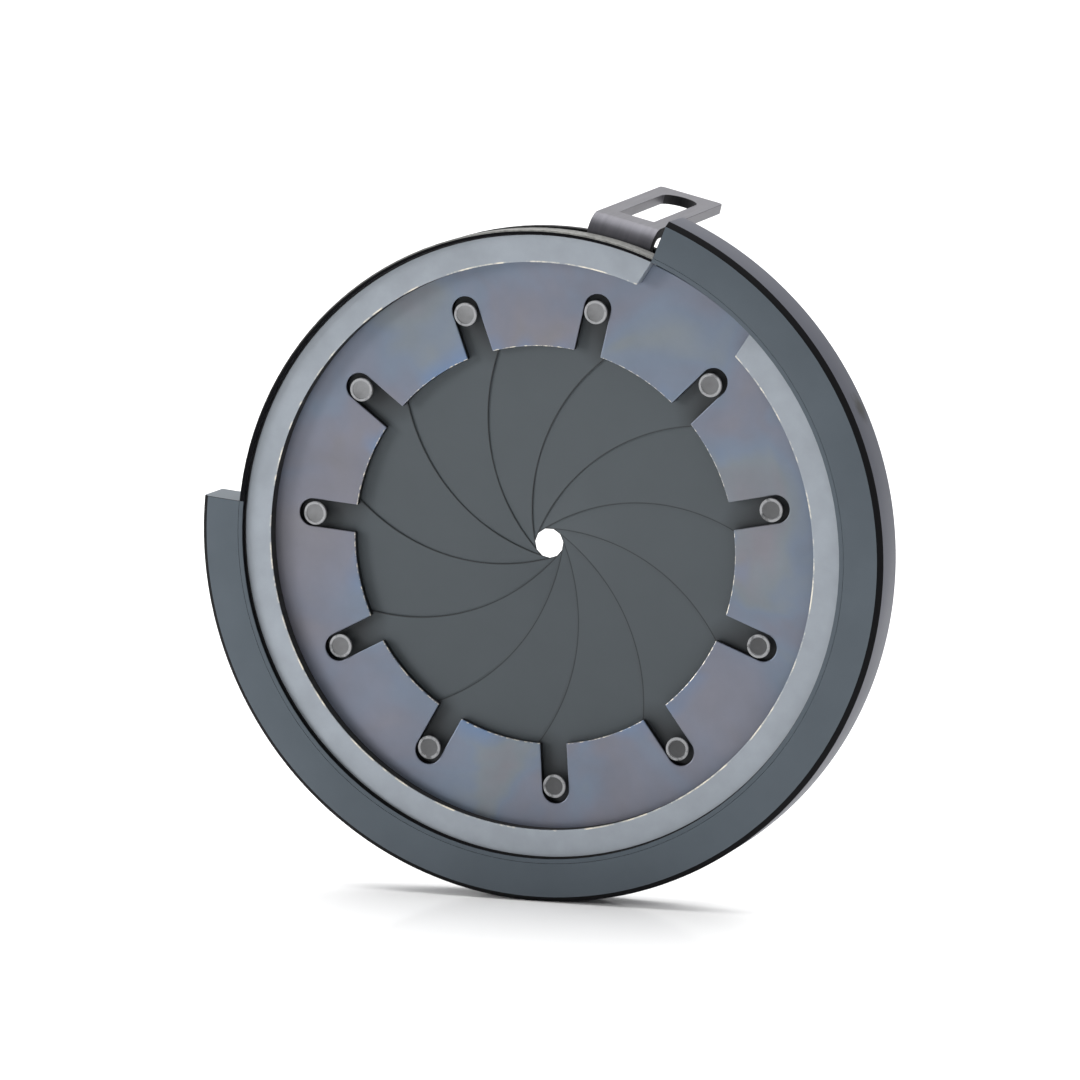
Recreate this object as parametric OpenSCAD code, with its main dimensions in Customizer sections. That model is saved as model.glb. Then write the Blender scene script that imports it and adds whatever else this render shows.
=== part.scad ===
// Lever-operated iris diaphragm.
// Each piece is drawn with the optical axis along local +Z, front face up,
// then in_place() turns the front to face -Y. The origin is on the optical axis,
// in the plane of the mounting ring's back face, where the rear spigot starts.

/* [Mounting ring] */
// Radial width of the mounting ring
ring_w = 2.74; // [1.5:0.01:12]
// Axial thickness of the mounting ring
ring_t = 3.6; // [3.2:0.1:6]
// Chamfer on the ring's front outer edge
ring_chamfer = 0.35; // [0.1:0.05:0.8]
// Chamfer on the ring's back outer edge
ring_back_chamfer = 0.15; // [0.05:0.05:0.4]
// Angle at which the lever cutaway starts, counter-clockwise from +X
cutaway_start = 67.6; // [60:0.1:69]
// Angle at which the lever cutaway ends
cutaway_end = 174; // [173:0.5:185]

/* [Housing] */
// Radial width of the ledge under the drive plate
ledge_w = 1.43; // [1.25:0.01:3]
// Radial width of the shoulder that the snap ring rests on
shoulder_w = 0.3; // [0.15:0.01:0.8]
// Wall left between the snap ring's groove and the outside
rim_wall = 0.22; // [0.15:0.01:0.4]
// How far the lip in front of the snap ring laps over it
lip_lap = 0.06; // [0.03:0.01:0.12]
// How far the housing steps in to the rear spigot, on radius
spigot_step = 0.85; // [0.5:0.05:1.2]
// Chamfer on the spigot's back edge
spigot_chamfer = 0.2; // [0.1:0.05:0.4]
// Thickness of the base that the blades pivot in
base_t = 1.2; // [0.8:0.1:3]
// How much larger the base's opening is than the open aperture, on radius
base_opening_margin = 0.25; // [0.1:0.05:0.6]
// Width of the bevel behind the base's opening
base_bevel = 0.5; // [0.2:0.05:1]
// Height of that shoulder over the lever window
shoulder_t = 0.2; // [0.15:0.05:0.3]

/* [Snap ring] */
// Depth of the snap ring's face below the front of the housing
snap_recess = 0.5; // [0.3:0.05:1]
// Thickness of the snap ring
snap_t = 0.95; // [0.6:0.05:1.2]
// Radial width of the snap ring
snap_w = 2.05; // [1.7:0.05:2.2]
// Width of the snap ring's gap, with parallel sides
snap_gap = 8.5; // [4:0.5:10]
// Direction of the middle of the gap
snap_gap_angle = 56.7; // [0:0.1:359]

/* [Drive plate] */
// Thickness of the slotted drive plate
plate_t = 0.55; // [0.4:0.05:0.8]
// Width of each slot
slot_w = 1.95; // [1.8:0.05:2.2]
// Clearance left between a drive pin's head and its slot's closed end
slot_end_clearance = 0.43; // [0.2:0.01:0.6]

/* [Blades] */
// Number of blades
blade_count = 11; // [9:1:12]
// Diameter of the open aperture
aperture_max = 28; // [26:0.5:32]
// Diameter of the closed aperture
aperture_min = 2; // [2:0.1:4]
// Travel of the drive plate from closed to open
plate_travel = 90; // [88:1:90]
// Thickness of the blade sheet
blade_t = 0.04; // [0.03:0.005:0.045]
// How far a blade climbs from its pivot end to its driven end
blade_rise = 1.4; // [1.3:0.05:1.6]
// Direction of the first drive pin when the iris is closed
first_pin_angle = 109.4; // [80:0.1:120]

/* [Pins] */
// Diameter of the pivot pins
pivot_d = 1.6; // [1.2:0.1:1.8]
// Running clearance of a pivot pin in the base, on radius
pivot_clearance = 0.04; // [0.02:0.01:0.08]
// How far a pivot pin stops short of the base's back face
pivot_inset = 0.06; // [0:0.02:0.2]
// Diameter of a drive pin's head
head_d = 1.66; // [1.4:0.02:1.7]
// Thickness of a drive pin's head
head_t = 0.22; // [0.15:0.01:0.3]
// Depth of the dish in a drive pin's head
head_dish = 0.06; // [0.02:0.01:0.1]
// Width of the rim around the dish
head_rim = 0.17; // [0.1:0.01:0.3]
// Diameter of a drive pin where it passes through the plate
neck_d = 1; // [0.8:0.05:1.05]
// Diameter of the tenon that fixes each pin in its blade
tenon_d = 0.84; // [0.6:0.02:0.9]

/* [Lever] */
// Direction of the lever when the iris is closed
lever_angle = 76.1; // [75:0.1:78]
// Width of the lever
lever_w = 4.77; // [4:0.01:5]
// Thickness of the lever strip
lever_t = 0.7; // [0.5:0.05:0.8]
// Gap between the housing and the underside of the lever's tab
lever_lift = 0.55; // [0.3:0.05:2]
// Inner radius of the lever's bend
bend_r = 0.7; // [0.4:0.1:1.5]
// Length of the lever from its front face to the end of the tab
lever_l = 15.3; // [10:0.1:25]
// Outward lean of the tab
lever_lean = 2; // [0:0.5:8]
// Width of the slot in the tab
tab_slot_w = 2.57; // [1.5:0.01:3]
// Length of the slot in the tab
tab_slot_l = 10.6; // [4:0.1:11]
// Sheet left between the slot and the end of the tab
tab_end = 1.7; // [1.2:0.1:3]
// Radius of the tab's far corners
tab_corner_r = 0.3; // [0.1:0.1:1]
// Diameter of the two lever rivets
rivet_d = 0.7; // [0.5:0.05:0.8]
// Diameter of the rivets' countersunk heads
rivet_head_d = 1; // [0.9:0.05:1.1]
// Distance between the two rivets
rivet_pitch = 2.8; // [2:0.1:3.2]

/* [Fits] */
// Gap between the mounting ring and the housing, on radius
ring_fit = 0.01; // [0.005:0.005:0.03]
// Gap around the snap ring in its groove
snap_clearance = 0.03; // [0.02:0.01:0.06]
// Running gap around the drive plate, on radius and on both faces
plate_play = 0.1; // [0.05:0.01:0.15]
// Gap between the blades and the plate and the base
blade_gap = 0.06; // [0.04:0.01:0.1]
// Least gap between the blades' ends and the wall around them
wall_gap = 0.235; // [0.15:0.005:0.6]
// Gap between the lever's leg and the pieces it passes
lever_gap = 0.15; // [0.1:0.05:0.2]
// Gap around a tenon in its blade, and a rivet in its holes, on radius
tenon_fit = 0.01; // [0.005:0.005:0.02]
// Gap under a drive pin's head
head_gap = 0.03; // [0.02:0.01:0.06]

/* [Hidden] */
$fn = 96;
eps = 0.01;
blade_steps = 48;
lobe_steps = 4;
hole_sides = 12;
bore_step = 0.01;
lobe_span = 80;

// Blade linkage. A blade is an arc whose pins lie on its middle line, pin_span
// apart, and its inner edge is the open aperture. Turning the plate by plate_travel
// turns the blade by half of that and brings its arc off centre, down to the
// closed aperture.
blade_swing = plate_travel / 2;
pin_span = 180 - blade_swing;
arc_shift = 2 * sin(blade_swing / 2);
pin_circle_r = (aperture_max - aperture_min) / 2 / arc_shift;
blade_half_w = pin_circle_r - aperture_max / 2;
blade_end_r = pin_circle_r + blade_half_w;
blade_flat = 0.03;
blade_steep_share = 0.3;
blade_steep_width = 0.3;

// Axial stack, from the front of the ring backwards.
z_front = ring_t;
z_snap = z_front - snap_recess;
z_shoulder = z_snap - snap_t;
z_plate = z_shoulder - plate_play;
z_plate_back = z_plate - plate_t;
z_blade_top = z_plate_back - blade_gap;
z_pivot_end = z_blade_top - blade_t - blade_rise;
z_base = z_pivot_end - blade_gap;
z_back = z_base - base_t;
z_ledge = z_plate_back - plate_play;
z_leg_back = z_plate_back - lever_t;
z_window = z_leg_back - lever_gap;
z_window_top = z_shoulder - shoulder_t;

// Radii, from the blades outwards. The blade chamber is bored to a whole bore_step.
cavity_r = ceil((blade_end_r + wall_gap) / bore_step) * bore_step;
base_opening_r = aperture_max / 2 + base_opening_margin;
plate_seat_r = cavity_r + ledge_w;
plate_r = plate_seat_r - plate_play;
lip_r = plate_seat_r + shoulder_w;
snap_r = lip_r + lip_lap;
groove_r = snap_r + snap_clearance;
housing_r = groove_r + rim_wall;
spigot_r = housing_r - spigot_step;
ring_in_r = housing_r + ring_fit;
ring_r = ring_in_r + ring_w;
slot_end_r = pin_circle_r + head_d / 2 + slot_end_clearance;
leg_r = cavity_r + plate_play;
rivet_r = (leg_r + plate_r) / 2;
head_z = z_plate + head_gap;
bend_x = housing_r + lever_lift - bend_r;
bend_z = z_leg_back - bend_r;
tab_l = lever_l - lever_t - bend_r;
tenon_hole_r = (tenon_d / 2 + tenon_fit) / cos(180 / hole_sides);

function two_digits(n) = str(n < 10 ? "0" : "", n);
function drive_angle(k) = first_pin_angle - (k - 1) * 360 / blade_count;
function pivot_angle(k) = drive_angle(k) - pin_span;
function on_circle(r, a) = [r * cos(a), r * sin(a)];

blade_names = [for (k = [1:blade_count]) str("blade_", two_digits(k))];
pivot_names = [for (k = [1:blade_count]) str("pivot_pin_", two_digits(k))];
drive_names = [for (k = [1:blade_count]) str("drive_pin_", two_digits(k))];

// Turns a piece so that its front faces -Y.
module in_place() {
    rotate([90, 0, 0]) children();
}

// A wedge of a ring between two angles, for cuts.
module sector(r_in, r_out, a_from, a_to, z_from, z_to) {
    translate([0, 0, z_from]) rotate([0, 0, a_from])
        rotate_extrude(angle = a_to - a_from)
            translate([r_in, 0]) square([r_out - r_in, z_to - z_from]);
}

module at_angle(r, a) {
    rotate([0, 0, a]) translate([r, 0, 0]) children();
}

// C-shaped ring that clamps in the user's mount.
module mount_ring() {
    color([0.36, 0.40, 0.44]) in_place()
        rotate([0, 0, cutaway_end])
            rotate_extrude(angle = 360 - (cutaway_end - cutaway_start))
                polygon([
                    [ring_in_r, 0],
                    [ring_r - ring_back_chamfer, 0],
                    [ring_r, ring_back_chamfer],
                    [ring_r, ring_t - ring_chamfer],
                    [ring_r - ring_chamfer, ring_t],
                    [ring_in_r, ring_t]]);
}

// Cup that holds everything: lip, snap groove, shoulder, ledge under the plate,
// blade chamber and base, with the lever window cut through its wall.
module housing() {
    color([0.10, 0.10, 0.11]) in_place()
        difference() {
            rotate_extrude()
                polygon([
                    [base_opening_r, z_base],
                    [base_opening_r, z_back + base_bevel],
                    [base_opening_r + base_bevel, z_back],
                    [spigot_r - spigot_chamfer, z_back],
                    [spigot_r, z_back + spigot_chamfer],
                    [spigot_r, 0],
                    [housing_r, 0],
                    [housing_r, z_front],
                    [lip_r, z_front],
                    [lip_r, z_snap + snap_clearance],
                    [groove_r, z_snap + snap_clearance],
                    [groove_r, z_shoulder],
                    [plate_seat_r, z_shoulder],
                    [plate_seat_r, z_ledge],
                    [cavity_r, z_ledge],
                    [cavity_r, z_base]]);
            sector(cavity_r - eps, housing_r + eps, cutaway_start, cutaway_end, z_window, z_window_top);
            for (k = [1:blade_count])
                at_angle(pin_circle_r, pivot_angle(k))
                    translate([0, 0, z_back - eps])
                        cylinder(r = pivot_d / 2 + pivot_clearance, h = base_t + 2 * eps, $fn = 32);
        }
}

// Split ring that keeps the plate in.
module snap_ring() {
    color([0.65, 0.68, 0.71]) in_place()
        difference() {
            rotate_extrude()
                translate([snap_r - snap_w, z_shoulder]) square([snap_w, snap_t]);
            rotate([0, 0, snap_gap_angle])
                translate([0, -snap_gap / 2, z_shoulder - eps])
                    cube([housing_r, snap_gap, snap_t + 2 * eps]);
        }
}

// Disc with a slot for each blade, open towards the aperture.
module drive_plate() {
    color([0.50, 0.50, 0.57]) in_place()
        difference() {
            translate([0, 0, z_plate_back])
                linear_extrude(plate_t)
                    difference() {
                        circle(r = plate_r);
                        circle(r = aperture_max / 2);
                        for (k = [1:blade_count])
                            rotate(drive_angle(k)) slot_outline();
                    }
            lever_rivet_places() rivet(tenon_fit);
        }
}

module slot_outline() {
    end_centre = slot_end_r - slot_w / 2;
    translate([end_centre, 0]) circle(d = slot_w, $fn = 48);
    translate([0, -slot_w / 2]) square([end_centre, slot_w]);
}

module lever_rivet_places() {
    rotate([0, 0, lever_angle])
        for (side = [-1, 1])
            translate([rivet_r, side * rivet_pitch / 2, 0]) children();
}

// Flush rivet with a countersunk head on the plate's front.
module rivet(grow = 0) {
    head_h = (rivet_head_d - rivet_d) / 2;
    past = grow > 0 ? eps : 0;
    translate([0, 0, z_leg_back - past])
        cylinder(d = rivet_d + 2 * grow, h = lever_t + plate_t + 2 * past, $fn = 32);
    translate([0, 0, z_plate - head_h - grow])
        cylinder(d1 = rivet_d + 2 * grow, d2 = rivet_head_d + 4 * grow, h = head_h + grow + past, $fn = 32);
}

module lever_rivets() {
    color([0.55, 0.55, 0.56]) in_place()
        lever_rivet_places() rivet();
}

// Strip under the plate that comes out of the window, bends and runs backwards
// as a slotted tab.
module lever() {
    color([0.62, 0.60, 0.60]) in_place()
        difference() {
            rotate([0, 0, lever_angle]) {
                difference() {
                    rotate([90, 0, 0])
                        linear_extrude(lever_w, center = true) lever_side_view();
                    on_tab() {
                        tab_slot();
                        for (side = [0, 1]) mirror([0, side, 0]) tab_corner();
                    }
                }
            }
            lever_rivet_places() rivet(tenon_fit);
        }
}

// Leg, bend and tab seen from the side: X outwards, Y towards the front.
module lever_side_view() {
    leg_l = bend_x - leg_r;
    far = 2 * (bend_r + lever_t);
    translate([bend_x, bend_z]) {
        translate([-leg_l, bend_r]) square([leg_l, lever_t]);
        intersection() {
            difference() {
                circle(r = bend_r + lever_t);
                circle(r = bend_r);
            }
            polygon([[0, 0], on_circle(far, lever_lean), [far, far], [0, far]]);
        }
        rotate(lever_lean) translate([bend_r, -tab_l]) square([lever_t, tab_l]);
    }
}

// Places what is drawn on the tab: X through the sheet from its underside,
// Z = 0 at the bend and Z = -tab_l at the far end.
module on_tab() {
    translate([bend_x, 0, bend_z]) rotate([0, -lever_lean, 0]) translate([bend_r, 0, 0]) children();
}

// Slot, square at the bend's end and round at the far end.
module tab_slot() {
    slot_r = tab_slot_w / 2;
    translate([-eps, 0, -tab_l + tab_end + slot_r])
        rotate([90, 0, 90])
            linear_extrude(lever_t + 2 * eps) {
                circle(r = slot_r, $fn = 48);
                translate([-slot_r, 0]) square([tab_slot_w, tab_slot_l - slot_r]);
            }
}

// What is cut away to round a far corner of the tab.
module tab_corner() {
    translate([-eps, lever_w / 2 - tab_corner_r, -tab_l + tab_corner_r])
        rotate([90, 0, 90])
            linear_extrude(lever_t + 2 * eps)
                difference() {
                    translate([0, -tab_corner_r - eps]) square(tab_corner_r + eps);
                    circle(r = tab_corner_r, $fn = 32);
                }
}

// Places what is drawn about a blade's arc centre, with its pivot on +X.
module at_blade(k) {
    arc_centre = on_circle(arc_shift * pin_circle_r, pivot_angle(k) + pin_span / 2);
    translate([arc_centre[0], arc_centre[1], z_pivot_end])
        rotate([0, 0, pivot_angle(k) - blade_swing]) children();
}

// Height of the blade sheet along its arc, from 0 at the pivot to 1 at the drive
// pin. It is level at the pins and steepest in the middle, where neighbours cross
// closest to each other.
function blade_climb(s) =
    let (u = min(1, max(0, (s - blade_flat) / (1 - 2 * blade_flat))),
         v = min(1, max(0, (u - 0.5) / blade_steep_width + 0.5)))
    (1 - blade_steep_share) * u + blade_steep_share * v * v * (3 - 2 * v);

// One cross-section of the sheet: inner and outer edge, bottom then top.
function blade_section(angle, ahead, half_w, z) =
    let (across = on_circle(1, angle), along = on_circle(1, angle - 90),
         inner = (pin_circle_r - half_w) * across + ahead * along,
         outer = (pin_circle_r + half_w) * across + ahead * along)
    [[inner[0], inner[1], z], [outer[0], outer[1], z],
     [outer[0], outer[1], z + blade_t], [inner[0], inner[1], z + blade_t]];

function lobe_angle(i) = lobe_span * i / lobe_steps;

blade_sections = concat(
    [for (i = [lobe_steps:-1:1])
        blade_section(0, -blade_half_w * sin(lobe_angle(i)), blade_half_w * cos(lobe_angle(i)), 0)],
    [for (i = [0:blade_steps])
        let (s = i / blade_steps)
        blade_section(-s * pin_span, 0, blade_half_w, blade_rise * blade_climb(s))],
    [for (i = [1:lobe_steps])
        blade_section(-pin_span, blade_half_w * sin(lobe_angle(i)), blade_half_w * cos(lobe_angle(i)),
                      blade_rise)]);

// Sheet-metal blade: a climbing arc with round ends and a hole for each pin.
module blade(k) {
    last = len(blade_sections) - 1;
    color([0.35, 0.37, 0.39]) in_place() at_blade(k)
        difference() {
            polyhedron(
                points = [for (section = blade_sections) each section],
                faces = concat(
                    [[0, 1, 2, 3]],
                    [for (i = [0:last - 1], j = [0:3])
                        let (a = 4 * i + j, b = 4 * i + (j + 1) % 4)
                        each [[a, a + 4, b + 4], [a, b + 4, b]]],
                    [[4 * last + 3, 4 * last + 2, 4 * last + 1, 4 * last]]));
            translate([pin_circle_r, 0, -eps])
                cylinder(r = tenon_hole_r, h = blade_t + 2 * eps, $fn = hole_sides);
            rotate([0, 0, -pin_span])
                translate([pin_circle_r, 0, blade_rise - eps])
                    cylinder(r = tenon_hole_r, h = blade_t + 2 * eps, $fn = hole_sides);
        }
}

// Stud on the blade's back that turns in the base.
module pivot_pin(k) {
    color([0.72, 0.72, 0.70]) in_place() at_angle(pin_circle_r, pivot_angle(k)) {
        translate([0, 0, z_back + pivot_inset])
            cylinder(d = pivot_d, h = z_pivot_end - z_back - pivot_inset, $fn = 32);
        translate([0, 0, z_pivot_end - eps])
            cylinder(d = tenon_d, h = blade_t + eps, $fn = 32);
    }
}

// Stud on the blade's front: tenon, neck through the slot and a dished head.
module drive_pin(k) {
    color([0.72, 0.72, 0.70]) in_place() at_angle(pin_circle_r, drive_angle(k))
        difference() {
            union() {
                translate([0, 0, z_blade_top - blade_t])
                    cylinder(d = tenon_d, h = blade_t + eps, $fn = 32);
                translate([0, 0, z_blade_top])
                    cylinder(d = neck_d, h = head_z - z_blade_top + eps, $fn = 32);
                translate([0, 0, head_z])
                    cylinder(d = head_d, h = head_t, $fn = 48);
            }
            translate([0, 0, head_z + head_t - head_dish])
                cylinder(r = head_d / 2 - head_rim, h = head_dish + eps, $fn = 48);
        }
}

mount_ring();
housing();
snap_ring();
drive_plate();
lever();
lever_rivets();
for (k = [1:blade_count]) {
    blade(k);
    pivot_pin(k);
    drive_pin(k);
}
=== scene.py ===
# %% [markdown]
# # An iris diaphragm, dressed piece by piece
# A leaf iris is a ring of thin curved blades between a fixed base and a slotted plate
# that turns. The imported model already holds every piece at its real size. This lesson
# gives the pieces their fine edges and finishes, and sets up the studio around them.

# %% Load the frame
import math

import bmesh
import bpy
import numpy as np
from mathutils import Matrix, Vector


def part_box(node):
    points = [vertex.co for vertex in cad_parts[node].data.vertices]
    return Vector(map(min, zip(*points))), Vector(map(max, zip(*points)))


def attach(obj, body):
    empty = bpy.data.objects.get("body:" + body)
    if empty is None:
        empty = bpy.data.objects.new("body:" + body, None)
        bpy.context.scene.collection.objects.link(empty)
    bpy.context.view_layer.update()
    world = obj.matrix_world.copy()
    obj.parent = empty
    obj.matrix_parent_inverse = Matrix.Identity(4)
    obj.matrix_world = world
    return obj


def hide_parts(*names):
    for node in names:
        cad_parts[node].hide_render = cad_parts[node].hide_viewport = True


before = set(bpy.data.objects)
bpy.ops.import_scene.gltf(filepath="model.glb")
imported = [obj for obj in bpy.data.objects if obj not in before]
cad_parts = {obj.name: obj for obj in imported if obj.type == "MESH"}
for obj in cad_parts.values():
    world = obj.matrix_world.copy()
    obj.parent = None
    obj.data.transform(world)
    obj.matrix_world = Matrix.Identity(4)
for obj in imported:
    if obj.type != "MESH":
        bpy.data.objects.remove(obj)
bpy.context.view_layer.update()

# %% [markdown]
# ## Directions and sizes
# The optical axis runs along Y and the front faces -Y. It is easier to think in polar
# terms: a radius, an angle counter-clockwise as seen from the front, and a height
# towards the front. `place` turns those three into a point, and every size that a CAD
# node already has is read from its box.

# %% Sizes
MM = 0.001


def place(radius, angle, height):
    """A point from its radius, its angle in radians seen from the front, and its height."""
    return Vector((radius * math.cos(angle), -height, radius * math.sin(angle)))


def heights(node):
    """How far back and how far forward a node reaches along the axis."""
    low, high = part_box(node)
    return -high.y, -low.y


ring_back, ring_front = heights("mount_ring")
snap_back, snap_front = heights("snap_ring")
plate_back, plate_front = heights("drive_plate")
pin_back, pin_front = heights("drive_pin_01")
stud_back, stud_front = heights("pivot_pin_01")
ring_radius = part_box("mount_ring")[1].x
housing_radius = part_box("housing")[1].x
snap_radius = -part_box("snap_ring")[0].x
plate_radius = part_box("drive_plate")[1].x
blade_count = sum(name.startswith("blade_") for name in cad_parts)
PIN_CIRCLE = 16.985 * MM
PIN_SPAN = math.radians(135)
FIRST_DRIVE_ANGLE = math.radians(109.4)
CAVITY_RADIUS = 20.21 * MM


def drive_angle(number):
    """Where a blade's drive pin is when the iris is closed."""
    return FIRST_DRIVE_ANGLE - (number - 1) * math.tau / blade_count


print(f"ring radius {ring_radius / MM:.2f} mm, {blade_count} blades")

# %% [markdown]
# ## The camera
# A long lens from the right and slightly above. The camera's place is worked out from
# how far the object is turned and tipped towards it, so both angles are plain to see.

# %% Camera
TURN = math.radians(19.07)
TIP = math.radians(8.49)
DISTANCE = 451.6 * MM
ASIDE, ABOVE = -0.29 * MM, -0.61 * MM
FOCAL_PIXELS = 6500
FRAME_PIXELS = 1080
SENSOR_MM = 36.0

studio_camera = bpy.data.cameras.new("studio_camera")
studio_camera.sensor_width = SENSOR_MM
studio_camera.lens = SENSOR_MM * FOCAL_PIXELS / FRAME_PIXELS
studio_camera.clip_start = 0.01
studio_camera.clip_end = 20
camera = bpy.data.objects.new("studio_camera", studio_camera)
bpy.context.scene.collection.objects.link(camera)
face_on = Matrix.Translation((0, -ring_front, 0)) @ Matrix.Rotation(math.radians(90), 4, "X")
camera.matrix_world = (
    face_on
    @ Matrix.Rotation(TURN, 4, "Y")
    @ Matrix.Rotation(-TIP, 4, "X")
    @ Matrix.Translation((-ASIDE, -ABOVE, DISTANCE))
)
bpy.context.scene.camera = camera
print("camera at", [round(value, 3) for value in camera.matrix_world.translation])

# %% [markdown]
# ## A turned outline with soft corners
# Rings like these are turned on a lathe, so each one is an outline spun about the axis.
# A real edge is never perfectly sharp, and it is the tiny round on it that catches the
# light. `soften` replaces each corner of an outline by a short arc, and remembers which
# points lie on an arc, so that a material can show bare metal there.

# %% Outlines
CORNER_STEPS = 3


def soften(corners, rounding):
    """Points (radius, height, number of their corner) of an outline with rounded corners.

    rounding is one size for all corners, or a list with one for each. A corner with no
    rounding stays one point."""
    sizes = rounding if isinstance(rounding, list) else [rounding] * len(corners)
    outline = []
    for index, corner in enumerate(corners):
        if sizes[index] == 0:
            outline.append((*corner, index))
            continue
        corner = Vector(corner)
        before = (Vector(corners[index - 1]) - corner).normalized()
        after = (Vector(corners[(index + 1) % len(corners)]) - corner).normalized()
        half = before.angle(after) / 2
        size = sizes[index]
        centre = corner + (before + after).normalized() * size / math.sin(half)
        start = corner + before * size / math.tan(half) - centre
        end = corner + after * size / math.tan(half) - centre
        turn = math.atan2(start.cross(end), start.dot(end))
        for step in range(CORNER_STEPS + 1):
            point = centre + Matrix.Rotation(turn * step / CORNER_STEPS, 2) @ start
            outline.append((point.x, point.y, index))
    return outline


# %% [markdown]
# `spin` turns such an outline into a closed mesh. A full turn joins up with itself. A
# part turn is closed at both ends, and the last little step narrows the outline, which
# rounds the edges of the ends as well. Its ends may depend on the radius, so that the
# two sides of a gap can be parallel.

# %% Spinning
def finish_mesh(bm, name, material):
    """A mesh object at the origin from a bmesh, smooth but sharp where faces meet steeply."""
    bmesh.ops.recalc_face_normals(bm, faces=bm.faces)
    mesh = bpy.data.meshes.new(name)
    bm.to_mesh(mesh)
    bm.free()
    return finish_object(mesh, name, material)


def finish_object(mesh, name, material, sharp_angle=12):
    """An object in the scene from a mesh, with one material and its shading set."""
    mesh.polygons.foreach_set("use_smooth", [True] * len(mesh.polygons))
    mesh.set_sharp_from_angle(angle=math.radians(sharp_angle))
    mesh.materials.clear()
    mesh.materials.append(material)
    made = bpy.data.objects.new(name, mesh)
    bpy.context.scene.collection.objects.link(made)
    return made


def spin(outline, steps, begin=None, end=None, end_round=0.0):
    """A bmesh of an outline spun from begin(radius) to end(radius), or all the way round."""
    bm = bmesh.new()
    edge_layer = bm.faces.layers.float.new("soft_edge")
    centre = sum((Vector(point[:2]) for point in outline), Vector((0, 0))) / len(outline)
    full = begin is None

    def station(share, shrink):
        """The outline's vertices at a share of the turn, drawn in by a size."""
        ring = []
        for radius, height, _ in outline:
            if shrink:
                inwards = Vector((radius, height)) - centre
                radius -= math.copysign(min(shrink, abs(inwards.x)), inwards.x)
                height -= math.copysign(min(shrink, abs(inwards.y)), inwards.y)
            if full:
                angle = math.tau * share
            else:
                angle = begin(radius) + share * (end(radius) - begin(radius))
            ring.append(bm.verts.new(place(radius, angle, height)))
        return ring

    if full:
        stations = [station(step / steps, 0) for step in range(steps)]
    else:
        span = (end(centre.x) - begin(centre.x)) * centre.x
        nudge = end_round / span
        shares = [nudge + (1 - 2 * nudge) * step / steps for step in range(steps + 1)]
        stations = [station(0, end_round)]
        stations += [station(share, 0) for share in shares]
        stations += [station(1, end_round)]
        bm.faces.new(stations[0])
        bm.faces.new(stations[-1])
    pairs = list(zip(stations, stations[1:] + ([stations[0]] if full else [])))
    count = len(outline)
    for number, (one, two) in enumerate(pairs if full else pairs[: len(stations) - 1]):
        at_end = not full and number in (0, len(stations) - 2)
        for index in range(count):
            following = (index + 1) % count
            face = bm.faces.new((one[index], one[following], two[following], two[index]))
            on_arc = outline[index][2] == outline[following][2]
            face[edge_layer] = 1.0 if (on_arc or at_end) else 0.0
    return bm


# %% [markdown]
# Some finishes differ from face to face: a chamfer gets near-black painted shade, a
# wall is painted darker than the face above it, as if in shade. `mark_faces` stores
# such a mask on a mesh, from a rule about where each face is and which way it looks,
# and the material reads it as an attribute.

# %% Marking faces
def mark_faces(mesh, attribute, rule):
    """Stores 1 on the faces that a rule picks by where they are and which way they look.

    The rule gets each face's radius and height, and its normal as front (along the axis)
    and outward (away from the axis)."""
    count = len(mesh.polygons)
    centres, normals = np.zeros(count * 3), np.zeros(count * 3)
    mesh.polygons.foreach_get("center", centres)
    mesh.polygons.foreach_get("normal", normals)
    centres, normals = centres.reshape(-1, 3), normals.reshape(-1, 3)
    radius = np.hypot(centres[:, 0], centres[:, 2])
    outward = (normals[:, 0] * centres[:, 0] + normals[:, 2] * centres[:, 2]) / radius
    picked = rule(radius=radius, height=-centres[:, 1], front=-normals[:, 1], outward=outward)
    layer = mesh.attributes.get(attribute) or mesh.attributes.new(attribute, "FLOAT", "FACE")
    layer.data.foreach_set("value", picked.astype(np.float32))
    return int(picked.sum())


# %% [markdown]
# ## Numbers inside node trees
# Node trees do arithmetic with one Math node for each operation, which is slow to write
# and hard to read. `Number` wraps a socket so that Python's own + - * / add the nodes.
# It serves geometry trees and shader trees alike.

# %% Node arithmetic
class Number:
    """A socket that carries a number, in a node tree that arithmetic can add to."""

    def __init__(self, tree, socket):
        self.tree = tree
        self.socket = socket

    def math(self, operation, *values):
        node = self.tree.nodes.new("ShaderNodeMath")
        node.operation = operation
        for socket, value in zip(node.inputs, values):
            feed(self.tree, socket, value)
        return Number(self.tree, node.outputs[0])

    def __add__(self, other):
        return self.math("ADD", self, other)

    def __sub__(self, other):
        return self.math("SUBTRACT", self, other)

    def __rsub__(self, other):
        return self.math("SUBTRACT", other, self)

    def __mul__(self, other):
        return self.math("MULTIPLY", self, other)

    def __truediv__(self, other):
        return self.math("DIVIDE", self, other)

    def __rtruediv__(self, other):
        return self.math("DIVIDE", other, self)

    __radd__ = __add__
    __rmul__ = __mul__

    def sin(self):
        return self.math("SINE", self)

    def cos(self):
        return self.math("COSINE", self)

    def root(self):
        return self.math("SQRT", self)

    def size(self):
        return self.math("ABSOLUTE", self)

    def above(self, limit):
        """1 where the number is over a limit, 0 elsewhere."""
        return self.math("GREATER_THAN", self, limit)

    def largest(self, other):
        return self.math("MAXIMUM", self, other)

    def smallest(self, other):
        return self.math("MINIMUM", self, other)

    def held(self):
        """Kept between 0 and 1."""
        return self.largest(0.0).smallest(1.0)

    def eased(self):
        """An S-curve from 0 to 1."""
        kept = self.held()
        return kept * kept * (3.0 - 2.0 * kept)


def feed(tree, socket, value):
    """Links a socket or a Number to an input, or sets the input to a plain value."""
    if isinstance(value, Number):
        value = value.socket
    if isinstance(value, bpy.types.NodeSocket):
        tree.links.new(value, socket)
    else:
        socket.default_value = value


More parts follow.
